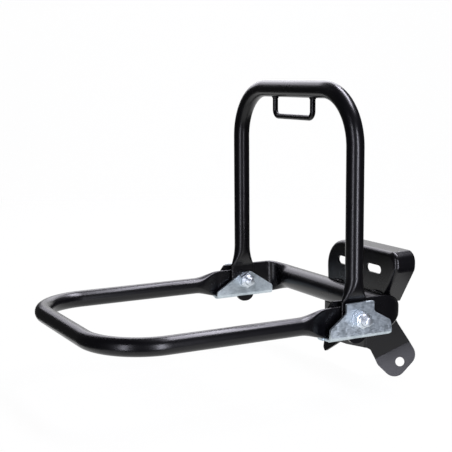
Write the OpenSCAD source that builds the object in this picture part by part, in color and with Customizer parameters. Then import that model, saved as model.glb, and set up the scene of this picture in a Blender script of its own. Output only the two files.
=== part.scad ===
// Folding luggage rack for a scooter.
// A tray tube and a backrest hoop share two hinge bolts in zinc-plated brackets.
// The brackets grip a stout base tube that carries the two plates the vehicle bolts to.
//
// Directions: +X runs from the tray's free end towards the plates, +Y to the far side, +Z up.
// The pieces are laid out from the middle of the hinges, where the tray's and the hoop's legs
// cross; then the whole rack is moved so that
// the middle of the upper plate's two slots, on the plate's front face, is the origin.

/* [Tray and hoop tube] */
// Outside diameter of the tray and hoop tube
rack_tube_d = 20; // [18:0.5:22]
// Wall thickness of the tray and hoop tube
rack_tube_wall = 1.5; // [1.2:0.1:2]
// Distance between the two side tubes of the tray, centre to centre
tray_span = 256; // [230:1:300]
// Middle of the hinge to the centre of the tray's end tube
tray_reach = 290; // [240:1:340]
// Centreline radius of the tray's corners
tray_corner_r = 66; // [50:1:80]
// Middle of the hinge to the centre of the hoop's top tube
hoop_height = 254; // [200:1:300]
// Centreline radius of the hoop's corners
hoop_corner_r = 62; // [50:1:80]

/* [Base tube] */
// Outside diameter of the base tube
base_tube_d = 30; // [28:0.5:32]
// Wall thickness of the base tube
base_tube_wall = 2; // [1.5:0.1:2.5]
// Middle of the hinge to the centre of the base tube's cross part
base_reach = 67; // [66:0.5:80]
// Centreline radius of the base tube's bends
base_bend_r = 24; // [22:0.5:24]
// Height of the base tube's centreline over the middle of the hinges
base_rise = 1.5; // [0:0.5:2]

/* [Flattened tube ends] */
// Thickness of every flattened tube end
flat_t = 4; // [3.8:0.1:4.2]
// Width of the flattened ends of tray and hoop
rack_flat_w = 33; // [31:0.5:34]
// Height of the base tube's flattened ends
base_flat_w = 42; // [40:0.5:44]
// Length of the tray's end past the middle of the hinge
tray_end_over = 14; // [13:0.5:15]
// Length of the hoop's end below the middle of the hinge
hoop_end_over = 26; // [24:0.5:27]
// Length of the base tube's end past the middle of the hinge
base_end_over = 27.5; // [26:0.5:28]
// Distance from the middle of the hinge to where the tray's legs are fully round
tray_round_from = 68; // [60:1:75]
// Distance from the middle of the hinge to where the hoop's legs are fully round
hoop_round_from = 50; // [46:1:60]

/* [Hinge brackets] */
// Sheet thickness of the brackets
bracket_t = 3; // [2.5:0.5:3.5]
// Inside radius of the bracket's bends
bracket_bend_r = 2.5; // [1.5:0.5:3]
// Middle of the hinge to the bracket's tray end
bracket_front = 36; // [34:0.5:38]
// Middle of the hinge to the bracket's plate end
bracket_back = 47; // [45:0.5:48]
// Height of the bolts over the middle of the hinge
bolt_rise = 3.5; // [2:0.5:5]
// Distance of the bolts from the middle of the hinge, towards the plates
bolt_shift = 1; // [0:0.5:2]
// Height of the tab beside the hoop, over the middle of the hinge
tab_top = 22; // [21:0.5:24]
// Height of the plain wall's peak over the middle of the hinge
peak_top = 13.3; // [12:0.1:15]

/* [Fasteners] */
// Thread diameter of the hinge bolts
bolt_d = 10; // [8:1:10]
// Diameter of the bolt holes, other than the tray's running fit
bolt_hole_d = 10.5; // [10.2:0.1:11]
// Radial running clearance of the tray on its bolts
running_gap = 0.05; // [0.02:0.01:0.1]
// Length of the hinge bolts under the head
bolt_length = 45; // [43:1:50]
// Width across the flats of bolt heads and nuts
hex_flats = 17; // [15:0.5:17]
// Outside diameter of the washers
washer_d = 20; // [18:0.5:22]
// Thickness of the washers under the heads and nuts
washer_t = 2; // [1.5:0.1:2.5]
// Thickness of the thin washers between the flattened tube ends
thrust_t = 1; // [0.8:0.1:1.2]
// Thickness of the spacer beside the bracket's tab wall
spacer_t = 4; // [3:0.5:5]

/* [Mounting plates] */
// Sheet thickness of both mounting plates
plate_t = 2.5; // [2:0.5:3]
// Width of the upper plate
upper_w = 146; // [130:1:160]
// Height of the upper plate's top over the middle of the hinges
upper_top = 68; // [62:0.5:75]
// Depth of the upper plate from its front face to its back edge
upper_depth = 28; // [20:0.5:35]
// Radius of the upper plate's pressed edge
upper_edge_r = 6; // [4:0.5:8]
// Middle of the upper plate, towards the near side of the rack
plate_shift = -48.5; // [-55:0.5:-40]
// Distance between the two slots, centre to centre
slot_spacing = 60; // [50:1:70]
// Length of each slot, end to end
slot_length = 29; // [20:0.5:30]
// Width of each slot
slot_w = 10; // [8:0.5:11]
// Height of the slots over the middle of the hinges
slot_height = 44; // [40:0.5:48]
// Diameter of the hole in the lower plate's arm
arm_hole_d = 11; // [8.5:0.5:12]

/* [Strap loop] */
// Wire diameter of the strap loop under the hoop's top tube
loop_wire_d = 6.5; // [5:0.5:8]
// Width of the strap loop, leg centre to leg centre
loop_w = 84; // [60:1:110]
// Hoop top tube centre to the loop's lower wire centre
loop_drop = 33; // [26:1:45]
// Centreline radius of the strap loop's corners
loop_corner_r = 8; // [6:0.5:12]

/* [Hidden] */
$fn = 64;

black = [0.07, 0.07, 0.08];
weld_black = [0.1, 0.1, 0.11];
zinc = [0.75, 0.79, 0.83];
steel = [0.62, 0.66, 0.7];
nylon = [0.85, 0.87, 0.9];

// Across the hinge: hoop end, thin washer, tray end, thin washer and base end lie side by side,
// with the spacer next to the tab wall.
flat_pitch = flat_t + thrust_t;
stack_w = 3 * flat_t + 2 * thrust_t;
hinge_y = tray_span / 2;

// The tray's flattened ends rest on the bracket's web.
web_top = -rack_flat_w / 2;
bracket_bottom = web_top - bracket_t;
// Hoop and base ends step over the end of the web, clear of its bends, which keeps both from turning.
web_end = -9;
step_gap = 0.1;
step_top = web_top + bracket_bend_r + step_gap;
hoop_lobe_r = 11.5;

// Plates stand with the middle of their sheet over the base tube's axis.
plate_front = base_reach - plate_t / 2;
mount_point = [plate_front, plate_shift, slot_height];

// The tube ends turn round again clear of the tab, the base end and the bracket.
tray_flat_to = bracket_front - 3;
hoop_flat_to = tab_top + 0.3;
base_flat_to = base_reach - base_bend_r;
base_round_from = base_reach - base_bend_r + base_bend_r * PI / 2;

ring_points = 32;
loft_steps = 9;
seam = 0.5;
seam_inset = 0.02;

// Outlines

function unit(v) = v / norm(v);
// Points of one rounded corner b = [x, y, radius] between its neighbours a and c
function corner_points(a, b, c, steps = 8) =
    let (p = [b[0], b[1]], u = unit([a[0], a[1]] - p), v = unit([c[0], c[1]] - p))
    let (half = acos(max(-1, min(1, u * v))) / 2, r = b[2])
    let (centre = p + unit(u + v) * r / sin(half), first = p + u * r / tan(half))
    let (start = atan2(first[1] - centre[1], first[0] - centre[0]))
    let (turn = u[0] * v[1] - u[1] * v[0] < 0 ? 1 : -1)
    r == 0 ? [p] : [for (k = [0:steps]) let (w = start + turn * (180 - 2 * half) * k / steps)
        centre + r * [cos(w), sin(w)]];
// A closed outline from corners given as [x, y, radius]
function rounded_outline(corners) = let (n = len(corners)) [
    for (i = [0:n - 1]) each corner_points(corners[(i + n - 1) % n], corners[i], corners[(i + 1) % n])
];

// Upright slab in the XZ plane, from y = y0 to y = y1
module side_slab(y0, y1) {
    translate([0, y1, 0]) rotate([90, 0, 0]) linear_extrude(y1 - y0) children();
}

// Slab in the YZ plane, from x = x0 to x = x1
module cross_slab(x0, x1) {
    translate([x0, 0, 0]) rotate([90, 0, 90]) linear_extrude(x1 - x0) children();
}

// Cylinder along Y, from y = y0 to y = y1
module along_y(r, y0, y1) {
    translate([0, y1, 0]) rotate([90, 0, 0]) cylinder(r = r, h = y1 - y0);
}

// Bore on the bolts' axis, through both hinges
module bolt_bore(r) {
    translate([bolt_shift, 0, bolt_rise]) along_y(r, -tray_span, tray_span);
}

// Bent tubes with flattened ends
// Each U lies in its own XY plane: legs along +x from the middle of the hinge, cross part at x = reach.

function ease(u) = u * u * (3 - 2 * u);
// How soon each tube swells after its flat: 1 is even, less is sooner
even_swell = 1;
hoop_swell = 0.55;
// Thickness of the pressed tube at the distance s from the middle of the hinge
function pressed_t(s, d, s0, s1, swell) =
    flat_t + (d - flat_t) * ease(pow(max(0, min(1, (s - s0) / (s1 - s0))), swell));
// Width that goes with a thickness t, from round at t = d to flat_w at t = flat_t
function width_at(t, d, flat_w) = t + (flat_w - flat_t) * (d - t) / (d - flat_t);
// Centre and outward direction of the U's near leg at the distance s from the middle of the hinge
function leg_station(s, span, reach, bend_r) =
    let (straight = reach - bend_r, a = max(0, s - straight) / bend_r * 180 / PI)
    [
        [min(s, straight) + bend_r * sin(a), -span / 2 + bend_r * (1 - cos(a))],
        [sin(a), -cos(a)]
    ];
// One ring of points round the leg: thickness along the outward direction, width along z
function leg_ring(station, t, w) = [
    for (i = [0:ring_points - 1])
        let (a = 360 * (i + 0.5) / ring_points, out = t / 2 * sin(a))
        let (up = (w - t) / 2 * sign(cos(a)) + t / 2 * cos(a))
        [station[0][0] + out * station[1][0], station[0][1] + out * station[1][1], up]
];

// Closed skin over rings with the same number of points
module loft(rings) {
    n = len(rings[0]);
    last = len(rings) - 1;
    polyhedron(
        points = [for (ring = rings) each ring],
        faces = concat(
            [[for (i = [0:n - 1]) i]],
            [[for (i = [n - 1:-1:0]) last * n + i]],
            [for (j = [0:last - 1], i = [0:n - 1]) [j * n + i, (j + 1) * n + i, (j + 1) * n + (i + 1) % n]],
            [for (j = [0:last - 1], i = [0:n - 1]) [j * n + i, (j + 1) * n + (i + 1) % n, j * n + (i + 1) % n]]
        )
    );
}

// Stretch of a leg from the flattened end at s0 to the full round at s1.
// inset is 0 for the outside, or the wall thickness for the hollow inside.
module pressed_stretch(span, reach, bend_r, d, flat_w, s0, s1, swell, inset) {
    rings = [
        for (k = [0:loft_steps])
            let (s = s0 + (s1 - s0) * k / loft_steps, t = pressed_t(s, d, s0, s1, swell))
            let (trim = inset + (k == 0 || k == loft_steps ? seam_inset : 0))
            let (shift = k == 0 ? -seam : k == loft_steps ? seam : 0)
            leg_ring(
                leg_station(s + shift, span, reach, bend_r),
                max(t - 2 * trim, 1), width_at(t, d, flat_w) - 2 * trim
            )
    ];
    loft(rings);
}

// The full round part of a U: both legs from leg_from, two bends from bend_from degrees, cross part
module round_part(span, reach, bend_r, r, leg_from, bend_from) {
    cross_y = span / 2 - bend_r;
    cross_over = bend_from < 89 ? 0 : seam / 2;
    translate([reach, 0, 0]) along_y(r, -cross_y - cross_over, cross_y + cross_over);
    for (side = [0, 1]) mirror([0, side, 0]) {
        if (bend_from < 89) translate([reach - bend_r, -cross_y, 0])
            rotate([0, 0, bend_from - 90])
                rotate_extrude(angle = 90 - bend_from) translate([bend_r, 0]) circle(r = r);
        if (leg_from < reach - bend_r)
            translate([leg_from, -span / 2, 0]) rotate([0, 90, 0])
                cylinder(r = r, h = reach - bend_r - leg_from);
    }
}

// Pressed flats of both legs from x0 to x1, with the folded edges left round
module pressed_flats(span, flat_w, x0, x1) {
    for (side = [-1, 1]) translate([0, side * span / 2, 0]) cross_slab(x0, x1) {
        square([flat_t, flat_w - flat_t], center = true);
        for (edge = [-1, 1]) translate([0, edge * (flat_w - flat_t) / 2]) circle(d = flat_t);
    }
}

// A hollow U tube with both ends pressed flat; its child is the outline of the flattened ends
module flat_ended_tube(span, reach, bend_r, d, wall, flat_w, over, s0, s1, swell = even_swell) {
    bend_from = max(0, s1 - (reach - bend_r)) / bend_r * 180 / PI;
    difference() {
        union() {
            round_part(span, reach, bend_r, d / 2, s1, bend_from);
            for (side = [0, 1]) mirror([0, side, 0])
                pressed_stretch(span, reach, bend_r, d, flat_w, s0, s1, swell, 0);
            intersection() {
                pressed_flats(span, flat_w, -over, s0);
                side_slab(-span, span) children();
            }
        }
        round_part(span, reach, bend_r, d / 2 - wall, s1, bend_from);
        for (side = [0, 1]) mirror([0, side, 0])
            pressed_stretch(span, reach, bend_r, d, flat_w, s0, s1, swell, wall);
    }
}

// Moves a piece laid out from the hinge axis into the rack's own frame
module in_frame() {
    translate(-mount_point) children();
}

// Tray

module tray_outline() {
    corner = 5;
    x0 = -tray_end_over;
    half = rack_flat_w / 2;
    polygon(rounded_outline([
        [x0, -half, corner], [tray_round_from, -half, 0], [tray_round_from, half, 0], [x0, half, corner]
    ]));
}

module tray_frame() {
    color(black) in_frame() difference() {
        rotate([0, 0, 180]) flat_ended_tube(
            tray_span, tray_reach, tray_corner_r, rack_tube_d, rack_tube_wall, rack_flat_w,
            tray_end_over, tray_flat_to, tray_round_from
        ) tray_outline();
        bolt_bore(bolt_d / 2 + running_gap);
    }
}

// Backrest hoop

// The hoop's end steps down beside the end of the web; x is up and y towards the tray.
module hoop_outline() {
    half = rack_flat_w / 2;
    step_y = -web_end - step_gap;
    low = -hoop_end_over;
    polygon(rounded_outline([
        [hoop_round_from, half, 0], [step_top, half, 0], [step_top, step_y, 0], [low, step_y, hoop_lobe_r],
        [low, -half, hoop_lobe_r], [hoop_round_from, -half, 0]
    ]));
}

module hoop_place() {
    translate([0, -flat_pitch, 0]) rotate([0, -90, 0]) children();
}

module backrest_hoop() {
    color(black) in_frame() difference() {
        hoop_place() flat_ended_tube(
            tray_span, hoop_height, hoop_corner_r, rack_tube_d, rack_tube_wall, rack_flat_w,
            hoop_end_over, hoop_flat_to, hoop_round_from, hoop_swell
        ) hoop_outline();
        bolt_bore(bolt_hole_d / 2);
    }
}

// Strap loop: wire bent to a U and welded under the hoop's top tube

module loop_path(r) {
    straight = loop_w / 2 - loop_corner_r;
    low = -loop_drop;
    translate([0, 0, low]) along_y(r, -straight, straight);
    for (side = [0, 1]) mirror([0, side, 0]) {
        translate([0, straight, low + loop_corner_r])
            rotate([90, 0, 90]) rotate([0, 0, -90])
                rotate_extrude(angle = 90) translate([loop_corner_r, 0]) circle(r = r);
        translate([0, loop_w / 2, low + loop_corner_r]) cylinder(r = r, h = loop_drop - loop_corner_r);
    }
}

module loop_place() {
    in_frame() translate([0, -flat_pitch, hoop_height]) children();
}

module strap_loop() {
    color(black) loop_place() difference() {
        loop_path(loop_wire_d / 2);
        along_y(rack_tube_d / 2, -loop_w, loop_w);
    }
}

module strap_loop_welds() {
    collar = 1.4;
    color(weld_black) loop_place() difference() {
        for (side = [-1, 1]) translate([0, side * loop_w / 2, -rack_tube_d / 2 - collar])
            cylinder(r1 = loop_wire_d / 2 + collar / 3, r2 = loop_wire_d / 2 + collar, h = 2 * collar);
        along_y(rack_tube_d / 2, -loop_w, loop_w);
        loop_path(loop_wire_d / 2);
    }
}

// Base tube

module base_outline() {
    corner_x = 6;
    corner_z = 8;
    half = base_flat_w / 2;
    step_x = web_end + step_gap;
    step_z = step_top - base_rise;
    x0 = -base_end_over;
    far_x = base_flat_to + 1;
    polygon([
        [x0, step_z], [step_x, step_z], [step_x, -half], [far_x, -half],
        [far_x, half], [x0 + corner_x, half], [x0, half - corner_z]
    ]);
}

module base_place() {
    translate([0, flat_pitch, base_rise]) children();
}

module base_tube() {
    color(black) in_frame() difference() {
        base_place() flat_ended_tube(
            tray_span, base_reach, base_bend_r, base_tube_d, base_tube_wall, base_flat_w,
            base_end_over, base_flat_to, base_round_from
        ) base_outline();
        bolt_bore(bolt_hole_d / 2);
    }
}

// Room that the cross part of the base tube takes out of the plates and welds
module base_cross_room() {
    base_place() translate([base_reach, 0, 0]) along_y(base_tube_d / 2, -tray_span / 2, tray_span / 2);
}

// Hinge brackets: one sheet folded to a U, with one tall wall and one low wall

module tab_wall_outline() {
    polygon(rounded_outline([
        [-bracket_front, bracket_bottom, 1], [-bracket_front, -5, 2], [-15.5, 10.5, 3],
        [-15.5, tab_top, 1.5], [21.5, tab_top, 1.5], [21.5, 10.5, 3],
        [bracket_back - 3, -2, 6], [bracket_back, bracket_bottom, 5]
    ]));
}

module peak_wall_outline() {
    polygon(rounded_outline([
        [-bracket_front - 3, bracket_bottom, 1], [-bracket_front - 3, -10, 2],
        [-2, peak_top, 4], [11, peak_top, 4],
        [bracket_back - 4, -7.5, 3], [bracket_back - 4, bracket_bottom, 2]
    ]));
}

// The folded sheet's section in the YZ plane; the walls' inner faces lie at y0 and y1
module bracket_section(y0, y1) {
    outer_r = bracket_bend_r + bracket_t;
    high = 60;
    difference() {
        union() {
            translate([y0 - bracket_t, bracket_bottom + outer_r]) square([y1 - y0 + 2 * bracket_t, high]);
            translate([y0 + bracket_bend_r, bracket_bottom]) square([y1 - y0 - 2 * bracket_bend_r, outer_r]);
            for (y = [y0 + bracket_bend_r, y1 - bracket_bend_r]) translate([y, bracket_bottom + outer_r])
                circle(r = outer_r);
        }
        translate([y0, web_top + bracket_bend_r]) square([y1 - y0, high]);
        translate([y0 + bracket_bend_r, web_top]) square([y1 - y0 - 2 * bracket_bend_r, high]);
        for (y = [y0 + bracket_bend_r, y1 - bracket_bend_r]) translate([y, web_top + bracket_bend_r])
            circle(r = bracket_bend_r);
    }
}

// The bracket as the near hinge has it: tab wall at -y, peak wall at +y, bolt along y
module bracket() {
    tab_y = -stack_w / 2 - spacer_t;
    peak_y = stack_w / 2;
    room = 60;
    difference() {
        intersection() {
            cross_slab(-room, room) bracket_section(tab_y, peak_y);
            union() {
                side_slab(tab_y - bracket_t, 0) tab_wall_outline();
                side_slab(0, peak_y + bracket_t) peak_wall_outline();
            }
        }
        translate([web_end, tab_y, bracket_bottom - 1])
            cube([room, peak_y - tab_y, bracket_t + bracket_bend_r + 1]);
        translate([web_end, 0, bracket_bottom - 1]) cube([room, room, 2]);
        bolt_bore(bolt_hole_d / 2);
    }
}

// Fasteners, laid out along -y from the outer face of the wall that they clamp

module washer(t, hole_d = bolt_hole_d) {
    difference() {
        along_y(washer_d / 2, -t, 0);
        along_y(hole_d / 2, -t - 1, 1);
    }
}

// Hexagon of height h along -y, its corners turned off at the end or at both ends
module turned_hex(h, both = false) {
    corner_r = hex_flats / 2 / cos(30);
    fall = (corner_r - hex_flats / 2) * tan(30);
    cone_r = hex_flats / 2 + 40 / tan(30);
    rotate([90, 0, 0]) intersection() {
        rotate([0, 0, 30]) cylinder(r = corner_r, h = h, $fn = 6);
        translate([0, 0, h - 40]) cylinder(r1 = cone_r, r2 = hex_flats / 2, h = 40);
        if (both) cylinder(r1 = hex_flats / 2, r2 = cone_r, h = 40);
        cylinder(r = corner_r + fall, h = h);
    }
}

head_h = 6.4;
nut_h = 10;
nut_hex_h = 7;
nut_collar_r = hex_flats / 2 - 0.9;
ring_h = 2.2;
ring_r = nut_collar_r - 1;

// Bolt with its head on the +y side; y = 0 is the underside of the head
module bolt() {
    point = 1;
    mirror([0, 1, 0]) turned_hex(head_h);
    along_y(bolt_d / 2, -bolt_length + point, 0);
    translate([0, -bolt_length + point, 0]) rotate([90, 0, 0])
        cylinder(r1 = bolt_d / 2, r2 = bolt_d / 2 - point, h = point);
}

// Lock nut with its seat at y = 0 and its collar towards -y
module lock_nut() {
    dome = nut_h - nut_hex_h;
    lip = 0.6;
    difference() {
        union() {
            turned_hex(nut_hex_h, true);
            translate([0, -nut_hex_h + 1, 0]) rotate([90, 0, 0])
                cylinder(r1 = nut_collar_r, r2 = nut_collar_r, h = 1 + dome / 2);
            translate([0, -nut_hex_h - dome / 2, 0]) rotate([90, 0, 0])
                cylinder(r1 = nut_collar_r, r2 = nut_collar_r - dome / 2, h = dome / 2);
        }
        along_y(bolt_d / 2 + running_gap, -nut_h - 1, 1);
        along_y(ring_r, -nut_h + lip, -nut_h + lip + ring_h);
        along_y(ring_r - 1, -nut_h - 1, -nut_h + 1);
    }
}

module nylon_ring() {
    lip = 0.6;
    difference() {
        along_y(ring_r, -nut_h + lip, -nut_h + lip + ring_h);
        along_y(bolt_d / 2 + 0.02, -nut_h, 0);
    }
}

// The two hinges; a nut is always towards -y and a bolt head towards +y
near = -1;
far = 1;

module hinge(side) {
    in_frame() translate([0, side * hinge_y, 0]) children();
}

// The same place on the bolt's axis
module on_bolt(side) {
    hinge(side) translate([bolt_shift, 0, bolt_rise]) children();
}

// Outer faces of the bracket's walls, from the middle of the hinge
function nut_face(side) = -stack_w / 2 - bracket_t - (side < 0 ? spacer_t : 0);
function head_face(side) = stack_w / 2 + bracket_t + (side > 0 ? spacer_t : 0);

module bracket_at(side) {
    color(zinc) hinge(side) mirror([0, side > 0 ? 1 : 0, 0]) bracket();
}

module bolt_at(side) {
    color(steel) on_bolt(side) translate([0, head_face(side) + washer_t, 0]) bolt();
}

module head_washer_at(side) {
    color(zinc) on_bolt(side) translate([0, head_face(side) + washer_t, 0]) washer(washer_t);
}

module nut_washer_at(side) {
    color(zinc) on_bolt(side) translate([0, nut_face(side), 0]) washer(washer_t);
}

module lock_nut_at(side) {
    color(steel) on_bolt(side) translate([0, nut_face(side) - washer_t, 0]) lock_nut();
}

module nylon_ring_at(side) {
    color(nylon) on_bolt(side) translate([0, nut_face(side) - washer_t, 0]) nylon_ring();
}

// Spacer between the tab wall and the flattened end next to it
module spacer_at(side) {
    far_face = side * stack_w / 2 + (side > 0 ? spacer_t : 0);
    color(zinc) on_bolt(side) translate([0, far_face, 0]) washer(spacer_t);
}

// Thin washer beside the tray's flattened end: way is -1 next to the hoop, 1 next to the base
module thrust_washer_at(side, way) {
    color(steel) on_bolt(side) translate([0, way * flat_pitch / 2 + thrust_t / 2, 0]) washer(thrust_t);
}

// Upper plate: a pressed hood, open at the bottom and the back

upper_bottom = 5;
// The far wall tapers to this depth, from the first height down to the second
far_wall_depth = 12;
taper_top = 62;
taper_low = 42;

// Outline of the hood drawn in by inset; it runs on below the plate, where it is cut off
function hood_points(inset) =
    let (half = upper_w / 2 - inset, top = upper_top - inset, low = -20)
    rounded_outline([
        [-half, top, 13 - inset], [-half + 1, 47, 14], [-half + 44, low, 0],
        [half - 5, low, 0], [half, top, 34 - inset]
    ]);

// Solid hood drawn in by inset: a face with a pressed edge of radius edge_r, then straight walls
module hood_body(inset, edge_r) {
    face_x = plate_front + inset;
    edge_steps = 6;
    wall_x = face_x + edge_r;
    cross_slab(wall_x, plate_front + upper_depth + inset) polygon(hood_points(inset));
    loft([
        for (k = [0:edge_steps + 1])
            let (w = 90 * min(k, edge_steps) / edge_steps)
            let (x = face_x + edge_r * (1 - cos(w)) + (k > edge_steps ? seam : 0))
            let (drawn = edge_r * (1 - sin(w)) + (k > edge_steps ? seam_inset : 0))
            [for (p = hood_points(inset + drawn)) [x, p[0], p[1]]]
    ]);
}

// Slots through the face, centred on the mounting point
module slot_cuts() {
    reach = slot_length / 2 - slot_w / 2;
    for (side = [-1, 1]) translate([0, plate_shift + side * slot_spacing / 2, slot_height])
        cross_slab(plate_front - 5, plate_front + plate_t + 5) {
            square([2 * reach, slot_w], center = true);
            for (end = [-1, 1]) translate([end * reach, 0]) circle(d = slot_w);
        }
}

// Room behind the far wall's tapered edge
module far_wall_taper() {
    back = plate_front + upper_depth;
    side_slab(plate_shift + slot_spacing / 2 + 5, plate_shift + upper_w) polygon([
        [back + 5, taper_top], [back, taper_top], [plate_front + far_wall_depth, taper_low],
        [plate_front + far_wall_depth, 0], [back + 5, 0]
    ]);
}

module upper_plate() {
    color(black) in_frame() difference() {
        translate([0, plate_shift, 0]) difference() {
            hood_body(0, upper_edge_r);
            hood_body(plate_t, upper_edge_r - plate_t);
            translate([plate_front - 1, -upper_w, -40]) cube([2 * upper_depth, 2 * upper_w, 40 + upper_bottom]);
        }
        base_cross_room();
        slot_cuts();
        far_wall_taper();
    }
}

module upper_plate_welds() {
    bead_r = 3;
    bead_l = 14;
    bend_clear = 7;
    near_weld = base_bend_r - tray_span / 2 + bend_clear + bead_r + bead_l / 2;
    far_weld = plate_shift + slot_spacing / 2 + 12;
    seat_z = base_rise + base_tube_d / 2;
    color(weld_black) in_frame() difference() {
        for (y = [near_weld, far_weld]) translate([plate_front, y, seat_z - 0.4]) {
            along_y(bead_r, -bead_l / 2, bead_l / 2);
            for (end = [-1, 1]) translate([0, end * bead_l / 2, 0]) sphere(r = bead_r);
        }
        base_cross_room();
        translate([plate_front, -200, -50]) cube([100, 400, 200]);
    }
}

// Lower plate: a sheet under the base tube, folded back to an arm that carries the second fixing
// Its flat outlines have x along the sheet, away from the far side, and y up.

fold_r = 3;
arm_fold = 53;
arm_fold_x = 60;
ear_fold = 20;
tab_fold = 20;
fold_low = -56;
sheet_top = -4;
arm_hole = [39, -70];
// Each folded flat starts a little inside its bend, and is a hair thinner than the bend
lap = 0.3;
hair = 0.02;

ear_line = [[-25, -62], [6, -62]];
tab_line = [[8, -69.8], [55, -42.8]];

module lower_face_outline() {
    polygon(rounded_outline([
        [-25, sheet_top, 0], [-25, -62, 0], [-22, -74, 4], [-16, -79, 4],
        [4, -64, 3], [8, -60.5, 3], [24, -60, 8], [arm_fold_x, fold_low, 0], [arm_fold_x, sheet_top, 0]
    ]));
}

// The arm starts where the fold ends, at x = 0
module arm_outline() {
    polygon(rounded_outline([
        [-lap, sheet_top - hair, 0], [-lap, fold_low + hair, 0], [4, -58, 4], [13, -76, 10], [35, -95, 14],
        [61, -63, 14], [37, -26, 10], [25, sheet_top - hair, 4]
    ]));
}

// Places things at the middle of a fold line [a, b], with x along the line
module at_fold(line) {
    turn = atan2(line[1][1] - line[0][1], line[1][0] - line[0][0]);
    translate((line[0] + line[1]) / 2) rotate([0, 0, turn]) children();
}

// Takes an outline to the same place
module from_fold(line) {
    turn = atan2(line[1][1] - line[0][1], line[1][0] - line[0][0]);
    rotate(-turn) translate(-(line[0] + line[1]) / 2) children();
}

// Flat sheet, its front on top, as far as the fold line; its child is the outline
module flat_part(line, inset) {
    room = 120;
    translate([0, 0, inset]) linear_extrude(plate_t - 2 * inset) intersection() {
        children();
        at_fold(line) translate([-room, 0]) square([2 * room, room]);
    }
}

// The rest of the sheet, folded forward by angle along the line; its child is the same outline
module folded_part(line, angle, inset) {
    room = 120;
    slim = 0.999;
    axis_z = plate_t + fold_r;
    steps = 6;
    outer = axis_z - inset;
    inner = fold_r + inset;
    way = room * [-cos(angle), sin(angle)];
    bend = [for (k = [0:steps]) let (w = angle * k / steps) [-sin(w), -cos(w)]];
    at_fold(line) intersection() {
        cross_slab(-room, room) polygon(concat(
            [[lap, inset]],
            [for (p = bend) [0, axis_z] + outer * p],
            [[0, axis_z] + outer * bend[steps] + way, [0, axis_z] + inner * bend[steps] + way],
            [for (k = [steps:-1:0]) [0, axis_z] + inner * bend[k]],
            [[lap, plate_t - inset]]
        ));
        translate([0, 0, -room / 2]) linear_extrude(2 * room) scale([slim, cos(angle)]) from_fold(line) children();
    }
}

// Hole through the folded part of a sheet, at a place on the outline
module folded_hole(line, angle, place, d) {
    axis_z = plate_t + fold_r;
    at_fold(line) translate([0, 0, axis_z]) rotate([-angle, 0, 0]) translate([0, 0, -axis_z])
        from_fold(line) translate([place[0], place[1], -plate_t]) cylinder(d = d, h = 3 * plate_t);
}

// Stands a flat sheet up behind its front: turned by angle from facing the tray
module stand_up(angle) {
    rotate([90, 0, angle - 90]) children();
}

module arm_place() {
    translate([plate_front + plate_t + fold_r, -arm_fold_x, 0]) stand_up(arm_fold)
        translate([0, 0, fold_r]) children();
}

module lower_plate() {
    color(black) in_frame() difference() {
        union() {
            translate([plate_front + plate_t, 0, 0]) stand_up(0) {
                flat_part(ear_line, 0) lower_face_outline();
                folded_part(ear_line, ear_fold, hair) lower_face_outline();
            }
            translate([plate_front + plate_t + fold_r, -arm_fold_x, fold_low])
                rotate([0, 0, 180]) rotate_extrude(angle = arm_fold)
                    translate([fold_r, 0]) square([plate_t, sheet_top - fold_low]);
            arm_place() {
                flat_part(tab_line, hair) arm_outline();
                folded_part(tab_line, tab_fold, 2 * hair) arm_outline();
            }
        }
        base_cross_room();
        arm_place() folded_hole(tab_line, tab_fold, arm_hole, arm_hole_d);
    }
}

module lower_plate_welds() {
    bead_r = 3;
    bead_l = 24;
    gap = 26;
    seat_z = base_rise - base_tube_d / 2;
    color(weld_black) in_frame() difference() {
        for (side = [-1, 1]) translate([plate_front, -18 + side * gap, seat_z + 0.4]) {
            along_y(bead_r, -bead_l / 2, bead_l / 2);
            for (end = [-1, 1]) translate([0, end * bead_l / 2, 0]) sphere(r = bead_r);
        }
        base_cross_room();
        translate([plate_front, -200, -150]) cube([100, 400, 300]);
    }
}

tray_frame();
backrest_hoop();
strap_loop();
strap_loop_welds();
base_tube();
upper_plate();
upper_plate_welds();
lower_plate();
lower_plate_welds();
bracket_at(near);  // near_bracket
bolt_at(near);  // near_bolt
head_washer_at(near);  // near_head_washer
thrust_washer_at(near, -1);  // near_hoop_washer
thrust_washer_at(near, 1);  // near_base_washer
spacer_at(near);  // near_spacer
nut_washer_at(near);  // near_nut_washer
lock_nut_at(near);  // near_lock_nut
nylon_ring_at(near);  // near_nylon_ring
bracket_at(far);  // far_bracket
bolt_at(far);  // far_bolt
head_washer_at(far);  // far_head_washer
thrust_washer_at(far, -1);  // far_hoop_washer
thrust_washer_at(far, 1);  // far_base_washer
spacer_at(far);  // far_spacer
nut_washer_at(far);  // far_nut_washer
lock_nut_at(far);  // far_lock_nut
nylon_ring_at(far);  // far_nylon_ring
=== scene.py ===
import logging
from dataclasses import dataclass, field
from enum import Enum
from math import cos, pi, radians, sin
from typing import Any, NamedTuple, Sequence

import bpy
from mathutils import Matrix, Vector


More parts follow.
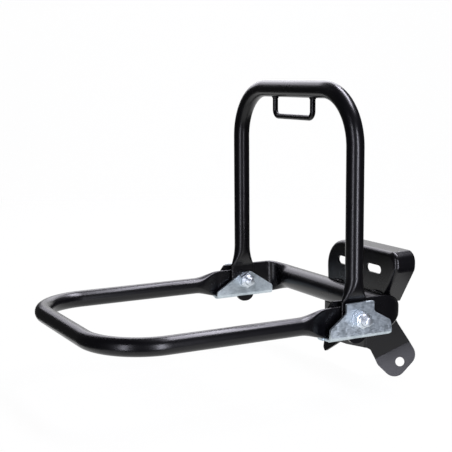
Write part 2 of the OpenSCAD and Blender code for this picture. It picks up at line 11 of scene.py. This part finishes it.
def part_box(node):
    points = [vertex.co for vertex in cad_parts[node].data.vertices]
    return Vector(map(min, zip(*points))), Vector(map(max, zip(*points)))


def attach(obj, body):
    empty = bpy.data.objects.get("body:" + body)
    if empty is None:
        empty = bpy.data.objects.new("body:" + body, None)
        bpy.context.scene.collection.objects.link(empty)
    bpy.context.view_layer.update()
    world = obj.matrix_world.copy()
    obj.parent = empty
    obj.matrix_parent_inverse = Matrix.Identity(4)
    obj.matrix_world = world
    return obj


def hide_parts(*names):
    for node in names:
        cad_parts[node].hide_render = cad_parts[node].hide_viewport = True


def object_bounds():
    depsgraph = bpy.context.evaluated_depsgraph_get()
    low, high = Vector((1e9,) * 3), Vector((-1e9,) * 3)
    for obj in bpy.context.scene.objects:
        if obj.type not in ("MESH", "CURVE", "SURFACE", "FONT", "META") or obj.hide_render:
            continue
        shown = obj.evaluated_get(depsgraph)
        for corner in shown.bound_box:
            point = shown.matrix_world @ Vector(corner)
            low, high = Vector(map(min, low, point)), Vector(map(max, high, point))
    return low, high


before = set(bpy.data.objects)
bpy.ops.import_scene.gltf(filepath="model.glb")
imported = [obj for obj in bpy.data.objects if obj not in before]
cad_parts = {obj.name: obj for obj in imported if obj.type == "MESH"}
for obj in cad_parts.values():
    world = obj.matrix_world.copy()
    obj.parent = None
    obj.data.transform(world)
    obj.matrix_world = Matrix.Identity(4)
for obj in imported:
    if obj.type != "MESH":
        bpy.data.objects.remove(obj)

log = logging.getLogger("luggage_rack")

CAD_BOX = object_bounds()
MM = 0.001
ROUND_SIDES = 40

Triple = tuple[float, float, float]


# Shader sockets as numbers


class Link:
    """A shader socket, or a plain number, that takes part in sums and products."""

    def __init__(self, board: "Board", source: Any) -> None:
        """Keeps the board that new nodes go on and the socket or number."""
        self.board = board
        self.source = source

    def _join(self, operation: str, other: Any, swapped: bool = False) -> "Link":
        """Adds one Math node.

        Args:
            operation: name of the Math node's operation.
            other: the second value.
            swapped: whether the other value comes first.

        Returns:
            The node's result.
        """
        first, second = (other, self) if swapped else (self, other)
        return self.board.add("ShaderNodeMath", {"operation": operation}, {0: first, 1: second})

    def __add__(self, other: Any) -> "Link":
        """Sum."""
        return self._join("ADD", other)

    def __sub__(self, other: Any) -> "Link":
        """Difference."""
        return self._join("SUBTRACT", other)

    def __rsub__(self, other: Any) -> "Link":
        """Difference with this value second."""
        return self._join("SUBTRACT", other, swapped=True)

    def __mul__(self, other: Any) -> "Link":
        """Product."""
        return self._join("MULTIPLY", other)

    __radd__ = __add__
    __rmul__ = __mul__

    def clamped(self) -> "Link":
        """The value held between 0 and 1."""
        return self.board.add("ShaderNodeClamp", {}, {"Value": self})


class Board:
    """The node board of one material or of the world."""

    def __init__(self, tree: bpy.types.NodeTree) -> None:
        """Clears the tree and keeps it."""
        self.tree = tree
        tree.nodes.clear()

    def node(self, kind: str, settings: dict[str, Any], values: dict[Any, Any]) -> bpy.types.Node:
        """Adds one node.

        Args:
            kind: the node's type.
            settings: properties set before the sockets.
            values: numbers, colours or Links by socket name or index.

        Returns:
            The node.
        """
        new = self.tree.nodes.new(kind)
        for name, value in settings.items():
            setattr(new, name, value)
        for name, value in values.items():
            if isinstance(value, Link):
                value = value.source
            if isinstance(value, bpy.types.NodeSocket):
                self.tree.links.new(value, new.inputs[name])
            else:
                new.inputs[name].default_value = value
        return new

    def add(self, kind: str, settings: dict[str, Any], values: dict[Any, Any],
            out: Any = 0) -> Link:
        """Adds one node and takes one of its outputs.

        Args:
            kind: the node's type.
            settings: properties set before the sockets.
            values: numbers, colours or Links by socket name or index.
            out: name or index of the output.

        Returns:
            The output.
        """
        return Link(self, self.node(kind, settings, values).outputs[out])

    def place(self, stretch: Triple = (1.0, 1.0, 1.0)) -> Link:
        """Object coordinates, times a factor along each axis."""
        here = self.add("ShaderNodeTexCoord", {}, {}, "Object")
        return self.add("ShaderNodeMapping", {}, {"Vector": here, "Scale": stretch})

    def noise(self, spots: float, detail: float, stretch: Triple = (1.0, 1.0, 1.0)) -> Link:
        """Adds even noise over the piece.

        Args:
            spots: how many spots go to a metre.
            detail: how many finer layers it has.
            stretch: factor on the spots along each axis.

        Returns:
            A value around a half.
        """
        values = {"Vector": self.place(stretch), "Scale": spots, "Detail": detail}
        return self.add("ShaderNodeTexNoise", {}, values, "Fac")

    def mix(self, amount: Any, low: Triple, high: Triple) -> Link:
        """Adds a colour between two colours.

        Args:
            amount: 0 for the first colour, 1 for the second.
            low: the first colour.
            high: the second colour.

        Returns:
            The colour.
        """
        factor, first, second, result = 0, 6, 7, 2
        values = {factor: amount, first: (*low, 1.0), second: (*high, 1.0)}
        return self.add("ShaderNodeMix", {"data_type": "RGBA"}, values, result)


# Finishes


class Grain(Enum):
    """What covers a surface."""

    POWDER = "powder"
    SPANGLE = "spangle"
    TURNED = "turned"
    WELD = "weld"
    PLAIN = "plain"


class Cover(NamedTuple):
    """What a grain feeds into the shader."""

    blend: Link
    roughness: Link
    height: Link


@dataclass(frozen=True)
class Finish:
    """One finish, as a maker would describe it.

    Args:
        name: name of the finish.
        colour: colour of the bare surface.
        shade: colour that it varies towards.
        roughness: how dull it is.
        metallic: 1 for bare or plated metal.
        grain: what covers the surface.
        relief: height of its grain, in millimetres.
        specular: how strongly a painted surface mirrors; 0.5 is plain lacquer.
    """

    name: str
    colour: Triple
    shade: Triple
    roughness: float
    metallic: float = 0.0
    grain: Grain = Grain.PLAIN
    relief: float = 0.0
    specular: float = 0.5

    def material(self) -> bpy.types.Material:
        """Builds the material once.

        Returns:
            The material.
        """
        made = bpy.data.materials.get(self.name)
        if made:
            return made
        made = bpy.data.materials.new(self.name)
        made.use_nodes = True
        board = Board(made.node_tree)
        surface = board.node("ShaderNodeBsdfPrincipled", {}, self._sockets(board))
        board.node("ShaderNodeOutputMaterial", {}, {"Surface": surface.outputs[0]})
        made.diffuse_color = (*self.colour, 1.0)
        return made

    def _sockets(self, board: Board) -> dict[str, Any]:
        """Works out what goes into the shader.

        Args:
            board: the material's board.

        Returns:
            Values and links by socket name.
        """
        cover = self._cover(board)
        sockets = {
            "Base Color": board.mix(cover.blend, self.colour, self.shade),
            "Roughness": cover.roughness,
            "Metallic": self.metallic,
            "Specular IOR Level": self.specular,
        }
        if self.relief:
            bump = {"Strength": 1.0, "Distance": self.relief * MM, "Height": cover.height}
            sockets["Normal"] = board.add("ShaderNodeBump", {}, bump)
        return sockets

    def _cover(self, board: Board) -> Cover:
        """Picks the grain's pattern.

        Args:
            board: the material's board.

        Returns:
            The pattern.
        """
        patterns = {
            Grain.POWDER: self._powder,
            Grain.SPANGLE: self._spangle,
            Grain.TURNED: self._turned,
            Grain.WELD: self._weld,
            Grain.PLAIN: self._plain,
        }
        return patterns[self.grain](board)

    def _plain(self, board: Board) -> Cover:
        """Broad, faint clouds on a smooth surface."""
        cloud = board.noise(spots=38.0, detail=4.0)
        return Cover(cloud, cloud * 0.06 + (self.roughness - 0.03), cloud)

    def _powder(self, board: Board) -> Cover:
        """Powder coat: the fine skin and the slower waves of the melted powder."""
        skin, waves = board.noise(spots=620.0, detail=1.0), board.noise(spots=210.0, detail=1.0)
        return self._plain(board)._replace(height=skin * 0.6 + waves)

    def _spangle(self, board: Board) -> Cover:
        """Plated sheet: small crystals, streaks of the bath and wider patches."""
        cells = {"Vector": board.place(), "Scale": 260.0}
        colours = board.add("ShaderNodeTexVoronoi", {}, cells, "Color")
        flake = board.add("ShaderNodeSeparateColor", {}, {"Color": colours})
        streaks = board.noise(spots=300.0, detail=5.0, stretch=(1.0, 1.0, 2.0))
        patches = board.noise(spots=75.0, detail=2.0)
        blend = (flake * 0.35 + streaks * 1.9 + patches * 1.3 - 1.3).clamped()
        roughness = flake * 0.10 + streaks * 0.22 + (self.roughness - 0.16)
        return Cover(blend, roughness, flake * 0.25 + streaks)

    def _turned(self, board: Board) -> Cover:
        """Turned metal: fine marks round the bolt's axis."""
        marks = board.noise(spots=1300.0, detail=3.0, stretch=(1.0, 0.15, 1.0))
        stains = board.noise(spots=260.0, detail=3.0)
        return self._plain(board)._replace(blend=stains, height=marks)

    def _weld(self, board: Board) -> Cover:
        """Painted weld: waves across the bead and a coarse skin."""
        waves = {"Vector": board.place(), "Scale": 190.0, "Distortion": 2.5, "Detail": 2.0}
        ripples = board.add("ShaderNodeTexWave", {"bands_direction": "Y"}, waves, "Fac")
        skin = board.noise(spots=700.0, detail=3.0)
        return self._plain(board)._replace(height=ripples * 0.8 + skin * 0.5)


POWDER_BLACK = Finish(
    "powder_black", colour=(0.0011, 0.0010, 0.0017), shade=(0.0021, 0.0019, 0.0029),
    roughness=0.28, grain=Grain.POWDER, relief=0.0005, specular=0.36)
WELD_BLACK = Finish(
    "painted_weld", colour=(0.002, 0.002, 0.003), shade=(0.004, 0.004, 0.005),
    roughness=0.26, grain=Grain.WELD, relief=0.3, specular=0.4)
PLATED_SHEET = Finish(
    "plated_sheet", colour=(0.43, 0.50, 0.545), shade=(0.62, 0.69, 0.73),
    roughness=0.40, metallic=1.0, grain=Grain.SPANGLE, relief=0.02)
PLATED_BOLT = Finish(
    "zinc_bolt", colour=(0.56, 0.62, 0.67), shade=(0.76, 0.81, 0.85),
    roughness=0.42, metallic=1.0, grain=Grain.TURNED, relief=0.002)
NYLON = Finish(
    "nylon_ring", colour=(0.74, 0.77, 0.79), shade=(0.80, 0.82, 0.84), roughness=0.42)


# Ways of working on a piece


def select_only(pieces: Sequence[bpy.types.Object]) -> None:
    """Selects these objects only and makes the first one active.

    Args:
        pieces: the objects.
    """
    bpy.ops.object.select_all(action="DESELECT")
    for piece in pieces:
        piece.select_set(True)
    bpy.context.view_layer.objects.active = pieces[0]


def join(pieces: Sequence[bpy.types.Object]) -> bpy.types.Object:
    """Joins objects into the first of them.

    Args:
        pieces: the objects.

    Returns:
        The joined object.
    """
    select_only(pieces)
    bpy.ops.object.join()
    return bpy.context.view_layer.objects.active


def add_bevel(piece: bpy.types.Object, width: float, angle: float) -> bpy.types.Modifier:
    """Adds a modifier that eases a piece's edges.

    Args:
        piece: the object.
        width: width of the bevel, in millimetres.
        angle: edges sharper than this are eased, in degrees.

    Returns:
        The modifier.
    """
    bevel = piece.modifiers.new("eased_edges", "BEVEL")
    bevel.width = width * MM
    bevel.segments = 2
    bevel.limit_method = "ANGLE"
    bevel.angle_limit = radians(angle)
    return bevel


@dataclass(frozen=True)
class Shading:
    """How a CAD node is shaded, with modifiers that leave its mesh alone.

    Args:
        angle: edges sharper than this stay sharp, in degrees.
        edge: width of the small bevel on its sharp edges, in millimetres, or 0.
        even_flats: whether large flat faces are shaded evenly.
        merge: how close two corners are to be one, in millimetres.
        edge_angle: edges sharper than this get the bevel, in degrees.
    """

    angle: float
    edge: float = 0.0
    even_flats: bool = True
    merge: float = 0.004
    edge_angle: float = 50.0

    def apply(self, piece: bpy.types.Object) -> None:
        """Adds the modifiers.

        Args:
            piece: the node's object.
        """
        piece.data.shade_smooth()
        weld = piece.modifiers.new("join_corners", "WELD")
        weld.merge_threshold = self.merge * MM
        if self.edge:
            add_bevel(piece, self.edge, self.edge_angle)
        split = piece.modifiers.new("sharp_edges", "EDGE_SPLIT")
        split.split_angle = radians(self.angle)
        if self.even_flats:
            even = piece.modifiers.new("even_flats", "WEIGHTED_NORMAL")
            even.keep_sharp = True


def dress(name: str, finish: Finish, shading: Shading) -> None:
    """Gives one CAD node its finish and its shading.

    Args:
        name: the node's name.
        finish: the finish.
        shading: the shading.
    """
    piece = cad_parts[name]
    piece.data.materials.clear()
    piece.data.materials.append(finish.material())
    shading.apply(piece)
    log.info("dressed %s in %s", name, finish.name)


def settle(piece: bpy.types.Object, name: str, body: str, finish: Finish) -> None:
    """Finishes a new piece: place into its mesh, outward faces, smooth shading, paint, body.

    Args:
        piece: the new object.
        name: its name.
        body: body that it rides on.
        finish: the finish.
    """
    smooth_below = 35.0
    select_only([piece])
    bpy.ops.object.transform_apply(location=True, rotation=True, scale=True)
    bpy.ops.object.mode_set(mode="EDIT")
    bpy.ops.mesh.select_all(action="SELECT")
    bpy.ops.mesh.normals_make_consistent(inside=False)
    bpy.ops.object.mode_set(mode="OBJECT")
    bpy.ops.object.shade_smooth_by_angle(angle=radians(smooth_below))
    piece.name = name
    piece.data.name = name
    piece.data.materials.clear()
    piece.data.materials.append(finish.material())
    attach(piece, body)


# Sub-assemblies


@dataclass
class TubeWork:
    """The bent tubes and the strap loop.

    Args:
        finish: powder coat on all of them.
        shading: shading of all of them.
        nodes: their names.
    """

    finish: Finish = POWDER_BLACK
    shading: Shading = Shading(angle=40.0)
    nodes: tuple[str, ...] = ("tray_frame", "backrest_hoop", "base_tube", "strap_loop")

    def build(self) -> None:
        """Dresses the tubes and the wire."""
        for name in self.nodes:
            dress(name, self.finish, self.shading)


@dataclass
class PlateWork:
    """The two plates that bolt to the vehicle.

    Args:
        finish: powder coat on both.
        upper: shading of the upper plate, with its flat face and rounded edges.
        lower: shading of the lower plate, smooth over its folds.
    """

    finish: Finish = POWDER_BLACK
    upper: Shading = Shading(angle=30.0)
    lower: Shading = Shading(angle=60.0, even_flats=False)

    def build(self) -> None:
        """Dresses both plates."""
        dress("upper_plate", self.finish, self.upper)
        dress("lower_plate", self.finish, self.lower)


@dataclass
class WeldBead:
    """One fillet weld: overlapping ripples laid along Y.

    Args:
        low: lowest corner of the bead, in metres.
        high: highest corner of the bead, in metres.
        pitch: distance between ripples, in millimetres.
        reach: how far a ripple goes to each side along Y, in millimetres.
        taper: how much thinner the bead is at its ends.
        waver: how much the ripples differ in size.
        waver_step: step of that difference from ripple to ripple, in radians.
        tip: how far a ripple leans, in degrees.
        tip_step: step of that lean from ripple to ripple, in radians.
        skew: turn of every ripple about the vertical, in degrees.
        fewest: fewest ripples that a bead has.
        segments: faces round a ripple.
        rings: rows of faces on a ripple.
    """

    low: Vector
    high: Vector
    pitch: float = 1.7
    reach: float = 1.5
    taper: float = 0.62
    waver: float = 0.07
    waver_step: float = 5.1
    tip: float = 9.0
    tip_step: float = 3.0
    skew: float = 8.0
    fewest: int = 3
    segments: int = 20
    rings: int = 10

    def build(self) -> bpy.types.Object:
        """Lays the ripples and joins them.

        Returns:
            The bead.
        """
        length = (self.high - self.low).y
        count = max(self.fewest, round(length / (self.pitch * MM)))
        return join([self._ripple(index, -1.0 + 2.0 * (index + 0.5) / count)
                     for index in range(count)])

    def _ripple(self, index: int, along: float) -> bpy.types.Object:
        """Adds one ripple.

        Args:
            index: its number, which sets its size and lean.
            along: its place on the bead, from -1 to 1.

        Returns:
            The ripple.
        """
        middle, half = (self.low + self.high) / 2, (self.high - self.low) / 2
        reach = self.reach * MM
        uneven = 1.0 - self.waver + self.waver * sin(self.waver_step * index)
        swell = (1.0 - self.taper * abs(along) ** 4) * uneven
        lean = radians(self.tip * sin(self.tip_step * index))
        bpy.ops.object.select_all(action="DESELECT")
        bpy.ops.mesh.primitive_uv_sphere_add(
            segments=self.segments, ring_count=self.rings, radius=1.0,
            location=(middle.x, middle.y + along * (half.y - reach), middle.z))
        ripple = bpy.context.object
        ripple.scale = (half.x * swell, reach, half.z * swell)
        ripple.rotation_euler = (lean, 0.0, radians(self.skew))
        bpy.ops.object.transform_apply(location=True, rotation=True, scale=True)
        return ripple


@dataclass
class WeldWork:
    """The weld beads under the paint.

    Args:
        plates: nodes that hold two beads along Y, with the length of a bead in millimetres.
        collars: node of the strap loop's two weld collars.
        finish: paint over the welds.
        shading: shading of the collars.
    """

    plates: tuple[tuple[str, float], ...] = (
        ("upper_plate_welds", 20.0), ("lower_plate_welds", 30.0))
    collars: str = "strap_loop_welds"
    finish: Finish = WELD_BLACK
    shading: Shading = Shading(angle=60.0)

    def build(self) -> None:
        """Lays new beads on the plates and dresses the collars."""
        for node, length in self.plates:
            low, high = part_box(node)
            spans = ((low.y, low.y + length * MM), (high.y - length * MM, high.y))
            piece = join([
                WeldBead(Vector((low.x, first, low.z)), Vector((high.x, last, high.z))).build()
                for first, last in spans])
            settle(piece, f"{node}_rippled", "rack", self.finish)
            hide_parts(node)
            log.info("laid two beads for %s", node)
        dress(self.collars, self.finish, self.shading)


@dataclass
class HingeBolt:
    """Hexagon bolt with a rolled thread and a turned end; lengths are in millimetres.

    Args:
        side: "near" or "far".
        thread: length of the thread.
        pitch: pitch of the thread.
        depth: depth of the thread.
        root_half: half the width of the thread's ridge at its root.
        sunk: how far the ridge is sunk into the core.
        lead_in: distance of the thread's start from the bolt's end.
        run_out: plain length left at the thread's two ends together.
        end_chamfer: chamfer at the bolt's end.
        head: height of the head.
        flats: width of the head over its flats.
        head_chamfer: eased edge of the head.
        shank: diameter of the shank.
        clearance: how much the shank's radius is under size.
        steps: steps of the thread to a turn.
        chamfer_angle: edges sharper than this are eased, in degrees.
    """

    side: str
    thread: float = 26.0
    pitch: float = 1.5
    depth: float = 0.75
    root_half: float = 0.66
    sunk: float = 0.1
    lead_in: float = 1.1
    run_out: float = 2.0
    end_chamfer: float = 0.9
    head: float = 6.4
    flats: float = 17.0
    head_chamfer: float = 0.6
    shank: float = 10.0
    clearance: float = 0.02
    steps: int = 32
    chamfer_angle: float = 55.0

    @property
    def core(self) -> float:
        """Radius of the thread's core, in metres."""
        return (self.shank / 2 - self.depth) * MM

    def build(self) -> None:
        """Models the bolt along -Y, from its head to its end, and replaces the plain one."""
        low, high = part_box(f"{self.side}_bolt")
        axis = Vector(((low.x + high.x) / 2, 0.0, (low.z + high.z) / 2))
        bolt = join([self._shank(axis, low.y, high.y), self._ridge(axis, low.y),
                     self._head(axis, high.y)])
        settle(bolt, f"{self.side}_threaded_bolt", "rack", PLATED_BOLT)
        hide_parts(f"{self.side}_bolt")
        log.info("threaded the %s bolt", self.side)

    def _rod(self, axis: Vector, first: float, last: float, radius: float,
             sides: int = ROUND_SIDES) -> bpy.types.Object:
        """Adds an upright prism laid along Y; lengths are in metres.

        Args:
            axis: a point on the bolt's axis.
            first: where it begins on Y.
            last: where it ends on Y.
            radius: its radius over the corners.
            sides: how many sides it has.

        Returns:
            The prism.
        """
        bpy.ops.object.select_all(action="DESELECT")
        bpy.ops.mesh.primitive_cylinder_add(
            vertices=sides, radius=radius, depth=last - first,
            location=(axis.x, (first + last) / 2, axis.z), rotation=(radians(90.0), 0.0, 0.0))
        return bpy.context.object

    def _ease(self, rod: bpy.types.Object, width: float) -> None:
        """Bevels a rod's sharp edges and applies the bevel.

        Args:
            rod: the rod.
            width: width of the bevel, in millimetres.
        """
        select_only([rod])
        bevel = add_bevel(rod, width, self.chamfer_angle)
        bpy.ops.object.modifier_apply(modifier=bevel.name)

    def _shank(self, axis: Vector, end: float, top: float) -> bpy.types.Object:
        """Adds the core of the thread, chamfered at its end, and the plain shank.

        Args:
            axis: a point on the bolt's axis.
            end: the bolt's end on Y, in metres.
            top: the outside of the head on Y, in metres.

        Returns:
            Both as one object.
        """
        start = end + self.thread * MM
        core = self._rod(axis, end, start, self.core)
        self._ease(core, self.end_chamfer)
        plain_r = (self.shank / 2 - self.clearance) * MM
        return join([core, self._rod(axis, start, top - self.head * MM / 2, plain_r)])

    def _ridge(self, axis: Vector, end: float) -> bpy.types.Object:
        """Sweeps the thread's ridge round the core.

        Args:
            axis: a point on the bolt's axis.
            end: the bolt's end on Y, in metres.

        Returns:
            The ridge.
        """
        bpy.ops.object.select_all(action="DESELECT")
        bpy.ops.mesh.primitive_circle_add(
            vertices=3, radius=1.0, location=(0.0, 0.0, 0.0),
            rotation=(radians(90.0), radians(90.0), 0.0))
        ridge = bpy.context.object
        bpy.ops.object.transform_apply(location=False, rotation=True, scale=False)
        root, half = self.core - self.sunk * MM, self.root_half * MM
        spots = [(self.core + self.depth * MM, 0.0), (root, half), (root, -half)]
        for corner, (out, along) in zip(ridge.data.vertices, spots):
            corner.co = (out, 0.0, along)
        sweep = ridge.modifiers.new("sweep", "SCREW")
        sweep.axis = "Z"
        sweep.angle = 2 * pi
        sweep.screw_offset = self.pitch * MM
        sweep.iterations = int((self.thread - self.run_out) / self.pitch)
        sweep.steps = self.steps
        sweep.render_steps = self.steps
        select_only([ridge])
        bpy.ops.object.modifier_apply(modifier=sweep.name)
        ridge.rotation_euler = (radians(-90.0), 0.0, 0.0)
        ridge.location = (axis.x, end + self.lead_in * MM, axis.z)
        return ridge

    def _head(self, axis: Vector, top: float) -> bpy.types.Object:
        """Adds the hexagon head with its corners eased.

        Args:
            axis: a point on the bolt's axis.
            top: the outside of the head on Y, in metres.

        Returns:
            The head.
        """
        corner_r = self.flats / 2 / cos(radians(30.0)) * MM
        head = self._rod(axis, top - self.head * MM, top, corner_r, sides=6)
        self._ease(head, self.head_chamfer)
        return head


@dataclass
class HingeWork:
    """Bracket, bolt, nut and washers of one hinge.

    Args:
        side: "near" or "far".
        washers: the flat rings on its bolt.
        bracket: shading of the folded bracket.
        ring: shading of the washers.
        nut: shading of the lock nut.
        insert: shading of the nut's nylon ring.
    """

    side: str
    washers: tuple[str, ...] = (
        "head_washer", "nut_washer", "hoop_washer", "base_washer", "spacer")
    bracket: Shading = Shading(angle=30.0, edge=0.3)
    ring: Shading = Shading(angle=40.0, edge=0.15)
    nut: Shading = Shading(angle=30.0, edge=0.2)
    insert: Shading = Shading(angle=40.0)

    def build(self) -> None:
        """Dresses the hinge's pieces and threads its bolt."""
        dress(f"{self.side}_bracket", PLATED_SHEET, self.bracket)
        for name in self.washers:
            dress(f"{self.side}_{name}", PLATED_BOLT, self.ring)
        HingeBolt(self.side).build()
        dress(f"{self.side}_lock_nut", PLATED_BOLT, self.nut)
        dress(f"{self.side}_nylon_ring", NYLON, self.insert)


# Studio


@dataclass
class Softbox:
    """One rectangular soft light, aimed at the rack.

    Args:
        name: its name.
        place: where it stands, in metres.
        size: width and height, in metres.
        power: in watts.
        tint: colour of its light.
    """

    name: str
    place: Triple
    size: tuple[float, float]
    power: float
    tint: Triple

    def build(self, target: Vector) -> None:
        """Adds the lamp and turns it.

        Args:
            target: point that it faces, in metres.
        """
        lamp = bpy.data.lights.new(self.name, "AREA")
        lamp.shape = "RECTANGLE"
        lamp.size, lamp.size_y = self.size
        lamp.energy = self.power
        lamp.color = self.tint
        holder = bpy.data.objects.new(self.name, lamp)
        bpy.context.scene.collection.objects.link(holder)
        holder.location = self.place
        holder.rotation_euler = (target - Vector(self.place)).to_track_quat("-Z", "Y").to_euler()


@dataclass
class Studio:
    """Pale table and backdrop, dim room and soft lamps.

    Args:
        centre: point of the table under the middle of the picture, in metres.
        facing: direction that the picture looks in, in degrees from +X.
        front: table's reach towards the camera and half its width there, in metres.
        back: table's reach behind the rack and half its width there, in metres.
        wall: height of the backdrop, in metres.
        gap: distance of the table under the rack's lowest point, in metres.
        room: level of the room's light.
        glow: share of the table's and backdrop's white that no shadow takes away.
        matt: how much light the table gives back.
        target: point that the lamps face, in metres.
        lamps: the soft lights.
    """

    centre: tuple[float, float] = (-0.13, 0.09)
    facing: float = 62.07
    front: tuple[float, float] = (0.33, 0.235)
    back: tuple[float, float] = (1.75, 0.74)
    wall: float = 2.2
    gap: float = 0.0005
    room: float = 0.06
    glow: float = 0.97
    matt: float = 0.9
    target: Vector = field(default_factory=lambda: Vector((-0.16, 0.05, 0.03)))
    lamps: tuple[Softbox, ...] = (
        Softbox("overhead_strip", (0.50, 0.05, 1.35), (1.2, 0.30), 28.0, (0.90, 0.88, 1.0)),
        Softbox("back_softbox", (0.35, 1.55, 1.0), (2.0, 0.9), 17.0, (0.92, 0.90, 1.0)),
        Softbox("left_strip", (-1.70, -1.06, 0.15), (0.26, 1.9), 19.0, (0.88, 0.88, 1.0)),
        Softbox("right_strip", (-0.07, -2.10, 0.15), (0.26, 1.9), 42.0, (0.88, 0.88, 1.0)),
    )

    def build(self) -> None:
        """Builds table, backdrop, room and lamps."""
        white = self._white()
        self._table(white)
        self._backdrop(white)
        self._room()
        for lamp in self.lamps:
            lamp.build(self.target)
        log.info("studio has %d lamps", len(self.lamps))

    def _white(self) -> bpy.types.Material:
        """Makes a white that camera and mirrors see as white and that still takes a shadow.

        Returns:
            The material.
        """
        made = bpy.data.materials.new("studio_white")
        made.use_nodes = True
        board = Board(made.node_tree)
        grey, full = (self.matt, self.matt, self.matt, 1.0), (1.0, 1.0, 1.0, 1.0)
        matt = board.node("ShaderNodeBsdfDiffuse", {}, {"Color": grey})
        white = board.node("ShaderNodeEmission", {}, {"Color": full, "Strength": 1.0})
        rays = board.node("ShaderNodeLightPath", {}, {})
        camera, glossy, through = (
            Link(board, rays.outputs[f"Is {kind} Ray"])
            for kind in ("Camera", "Glossy", "Transmission"))
        seen = (camera + glossy + through).clamped() * self.glow
        both = {0: seen, 1: matt.outputs[0], 2: white.outputs[0]}
        surface = board.node("ShaderNodeMixShader", {}, both)
        board.node("ShaderNodeOutputMaterial", {}, {"Surface": surface.outputs[0]})
        return made

    def _spot(self, along: float, across: float, height: float) -> Vector:
        """Finds a point in front of the camera; lengths are in metres.

        Args:
            along: distance behind the table's middle.
            across: distance to its right.
            height: distance above the table.

        Returns:
            The point.
        """
        turn = radians(self.facing)
        ahead = Vector((cos(turn), sin(turn), 0.0)) * along
        right = Vector((sin(turn), -cos(turn), 0.0)) * across
        return Vector((*self.centre, CAD_BOX[0].z - self.gap + height)) + ahead + right

    def _sheet(self, name: str, corners: Sequence[Vector], white: bpy.types.Material) -> None:
        """Adds a plane, moves its corners and stages it.

        Args:
            name: its name.
            corners: its four corners, in metres.
            white: its material.
        """
        bpy.ops.object.select_all(action="DESELECT")
        bpy.ops.mesh.primitive_plane_add(size=1.0)
        sheet = bpy.context.object
        sheet.name = name
        for corner, place in zip(sheet.data.vertices, corners):
            corner.co = place
        sheet.data.materials.append(white)

    def _table(self, white: bpy.types.Material) -> None:
        """Adds the table, wider behind the rack than before it.

        Args:
            white: its material.
        """
        (near, near_half), (far, far_half) = self.front, self.back
        corners = [self._spot(-near, -near_half, 0.0), self._spot(-near, near_half, 0.0),
                   self._spot(far, -far_half, 0.0), self._spot(far, far_half, 0.0)]
        self._sheet("studio_table", corners, white)

    def _backdrop(self, white: bpy.types.Material) -> None:
        """Adds the upright backdrop behind the table.

        Args:
            white: its material.
        """
        far, half = self.back
        corners = [self._spot(far, -half, 0.0), self._spot(far, half, 0.0),
                   self._spot(far, -half, self.wall), self._spot(far, half, self.wall)]
        self._sheet("studio_backdrop", corners, white)

    def _room(self) -> None:
        """Sets the dim, even light of the room."""
        world = bpy.data.worlds.new("studio_room")
        bpy.context.scene.world = world
        world.use_nodes = True
        board = Board(world.node_tree)
        light = {"Color": (1.0, 1.0, 1.0, 1.0), "Strength": self.room}
        back = board.node("ShaderNodeBackground", {}, light)
        board.node("ShaderNodeOutputWorld", {}, {"Surface": back.outputs[0]})


@dataclass
class ProductCamera:
    """Camera at the photograph's angle, worked out for a square picture of 452 pixels.

    Args:
        place: where it stands, in metres.
        tilt: angle from looking straight down, in degrees.
        turn: angle about the vertical, in degrees; 0 looks along +Y.
        roll: turn about its own axis, in degrees.
        focal_px: focal length in pixels of the picture.
        picture_px: width of the picture in pixels.
        sensor: width of the sensor, in millimetres.
        sight: how far it sees, in metres.
    """

    place: Triple = (-0.72596, -1.02878, 0.23038)
    tilt: float = 81.6865
    turn: float = -27.9303
    roll: float = -0.4247
    focal_px: float = 1054.05
    picture_px: float = 452.0
    sensor: float = 36.0
    sight: float = 50.0

    def build(self) -> None:
        """Adds the camera and makes it the scene's."""
        lens = bpy.data.cameras.new("product_camera")
        lens.sensor_fit = "HORIZONTAL"
        lens.sensor_width = self.sensor
        lens.lens = self.focal_px / self.picture_px * self.sensor
        lens.clip_end = self.sight
        holder = bpy.data.objects.new("product_camera", lens)
        bpy.context.scene.collection.objects.link(holder)
        turned = (Matrix.Rotation(radians(self.turn), 3, "Z")
                  @ Matrix.Rotation(radians(self.tilt), 3, "X")
                  @ Matrix.Rotation(radians(self.roll), 3, "Z"))
        holder.rotation_euler = turned.to_euler()
        holder.location = self.place
        bpy.context.scene.camera = holder
        log.info("camera stands at %s", self.place)


def main() -> None:
    """Dresses the rack, builds the studio and places the camera."""
    logging.basicConfig(level=logging.INFO, format="%(name)s: %(message)s")
    bpy.context.scene.view_settings.view_transform = "Standard"
    for work in (TubeWork(), PlateWork(), WeldWork(), HingeWork("near"), HingeWork("far")):
        work.build()
    Studio().build()
    ProductCamera().build()


if __name__ == "__main__":
    main()
